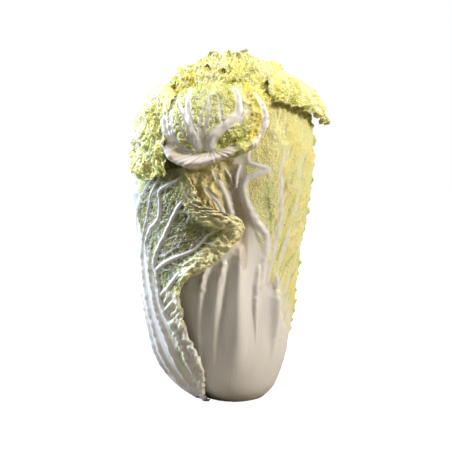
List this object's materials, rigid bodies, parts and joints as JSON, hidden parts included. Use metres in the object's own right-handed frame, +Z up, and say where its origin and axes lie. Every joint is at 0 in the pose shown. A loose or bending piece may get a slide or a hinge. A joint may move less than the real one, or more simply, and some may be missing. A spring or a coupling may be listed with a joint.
{
  "type": "napa cabbage",
  "caption": "Barrel-shaped head of napa cabbage standing on its trimmed butt, with white ribbed wrapper leaves and frilled yellow-green tips.",
  "frame": {"origin": "centre of the flat cut face at the bottom of the butt", "axes": "+Z up along the head towards the crown, -Y towards the front, where the broad white front wrapper leaf is"},
  "size_m": [0.1755, 0.1511, 0.3004],
  "materials": {
    "outer_leaf": "white waxy midrib, pale yellow-green blade",
    "inner_leaf": "blistered yellow-green blade with white veins",
    "crown_leaf": "blistered yellow blade with a frilled edge",
    "heart_leaf": "deep yellow, folded tight",
    "stem": "pale cut flesh, browned at the rim"
  },
  "bodies": {
    "root": {"left_wrapper_leaf": "outer_leaf", "front_wrapper_leaf": "outer_leaf", "right_wrapper_leaf": "outer_leaf", "back_wrapper_leaf": "outer_leaf", "left_back_wrapper_leaf": "outer_leaf", "left_flap_leaf": "inner_leaf", "right_flap_leaf": "inner_leaf", "folded_top_leaf": "inner_leaf", "crown_right_leaf": "crown_leaf", "crown_front_leaf": "crown_leaf", "crown_left_leaf": "crown_leaf", "crown_back_leaf": "crown_leaf", "heart_leaves": "heart_leaf", "stem_butt": "stem"}
  },
  "joints": []
}
